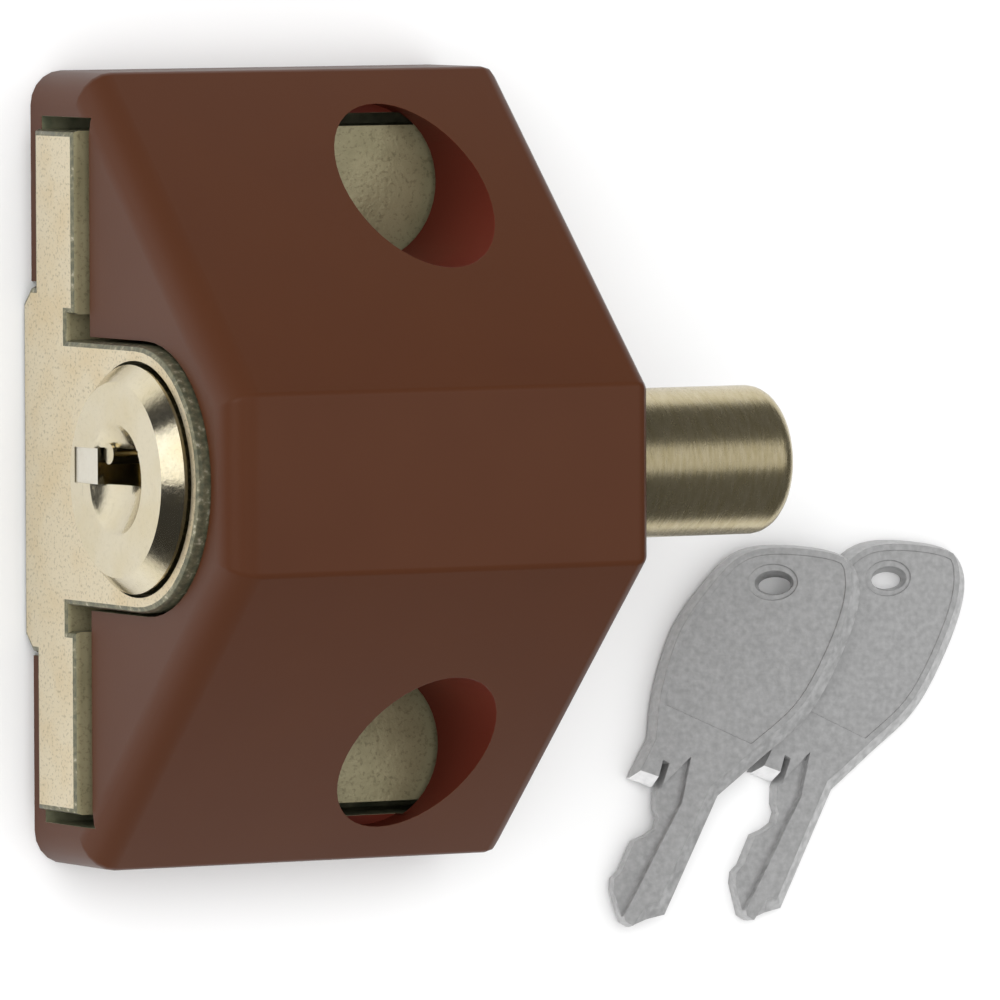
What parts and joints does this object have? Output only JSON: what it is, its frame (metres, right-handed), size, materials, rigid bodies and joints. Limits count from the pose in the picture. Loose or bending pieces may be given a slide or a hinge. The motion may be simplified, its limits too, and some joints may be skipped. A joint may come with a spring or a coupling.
{
  "type": "surface bolt lock with keys",
  "caption": "Surface-mounted sliding bolt lock for a patio door or window: tapered case, round bolt, push-in carrier with a key cylinder, and flat keys.",
  "frame": {"origin": "middle of the mounting face, on the plane that lies against the door or window frame", "axes": "+X is the way the bolt is thrown, +Y runs along the case's height, +Z leaves the mounting face towards the room"},
  "size_m": [0.0914, 0.0726, 0.0346],
  "materials": {
    "brown_paint": "satin brown paint on die-cast zinc",
    "plated_zinc": "plated die-cast zinc, slightly grained",
    "turned_steel": "turned and plated",
    "pin_steel": "plain",
    "spring_steel": "drawn wire",
    "brass": "stamped",
    "key_metal": "tumbled nickel plate"
  },
  "bodies": {
    "case": {"housing": "brown_paint", "stop_pin_upper": "pin_steel", "stop_pin_lower": "pin_steel", "return_spring": "spring_steel"},
    "carrier": {"carrier": "plated_zinc", "bolt": "turned_steel", "bolt_cross_pin": "pin_steel", "plug_retaining_pin": "pin_steel", "latch_spring": "spring_steel"},
    "plug": {"plug": "plated_zinc", "plug_drive_pin": "pin_steel", "wafer_spring_1": "spring_steel", "wafer_spring_2": "spring_steel", "wafer_spring_3": "spring_steel", "wafer_spring_4": "spring_steel", "wafer_spring_5": "spring_steel"},
    "latch": {"latch": "pin_steel"},
    "wafer_1": {"wafer_1": "brass"},
    "wafer_2": {"wafer_2": "brass"},
    "wafer_3": {"wafer_3": "brass"},
    "wafer_4": {"wafer_4": "brass"},
    "wafer_5": {"wafer_5": "brass"},
    "key_1": {"key_1": "key_metal"},
    "key_2": {"key_2": "key_metal"}
  },
  "joints": [
    {"name": "carrier_slide", "type": "slide", "parent": "case", "child": "carrier", "axis": [1, 0, 0], "range_m": [-0.016, 0], "deforming": ["return_spring"]},
    {"name": "plug_turn", "type": "hinge", "parent": "carrier", "child": "plug", "pos_m": [-0.0183, 0, 0.02], "axis": [1, 0, 0], "range_deg": [0, 90]},
    {"name": "latch_slide", "type": "slide", "parent": "carrier", "child": "latch", "axis": [0, 0, 1], "range_m": [0, 0.00226], "deforming": ["latch_spring"]},
    {"name": "wafer_1_slide", "type": "slide", "parent": "plug", "child": "wafer_1", "axis": [0, 0, 1], "range_m": [-0.0008, 0], "stiffness_N_per_m": 200, "deforming": ["wafer_spring_1"]},
    {"name": "wafer_2_slide", "type": "slide", "parent": "plug", "child": "wafer_2", "axis": [0, 0, 1], "range_m": [-0.00051, 0], "stiffness_N_per_m": 200, "deforming": ["wafer_spring_2"]},
    {"name": "wafer_3_slide", "type": "slide", "parent": "plug", "child": "wafer_3", "axis": [0, 0, 1], "range_m": [-0.00071, 0], "stiffness_N_per_m": 200, "deforming": ["wafer_spring_3"]},
    {"name": "wafer_4_slide", "type": "slide", "parent": "plug", "child": "wafer_4", "axis": [0, 0, 1], "range_m": [-0.00041, 0], "stiffness_N_per_m": 200, "deforming": ["wafer_spring_4"]},
    {"name": "wafer_5_slide", "type": "slide", "parent": "plug", "child": "wafer_5", "axis": [0, 0, 1], "range_m": [-0.00061, 0], "stiffness_N_per_m": 200, "deforming": ["wafer_spring_5"]},
    {"name": "key_1_lift", "type": "slide", "parent": "case", "child": "key_1", "axis": [0, 0, 1], "range_m": [0, 0.025]},
    {"name": "key_2_draw", "type": "slide", "parent": "case", "child": "key_2", "axis": [1, 0, 0], "range_m": [0, 0.025]}
  ],
  "couplings": [
    {"joint": "latch_slide", "follows": "plug_turn", "m_per_rad": 0.001438},
    {"joint": "wafer_2_slide", "follows": "wafer_1_slide", "ratio": 0.625},
    {"joint": "wafer_3_slide", "follows": "wafer_1_slide", "ratio": 0.875},
    {"joint": "wafer_4_slide", "follows": "wafer_1_slide", "ratio": 0.5},
    {"joint": "wafer_5_slide", "follows": "wafer_1_slide", "ratio": 0.75}
  ]
}
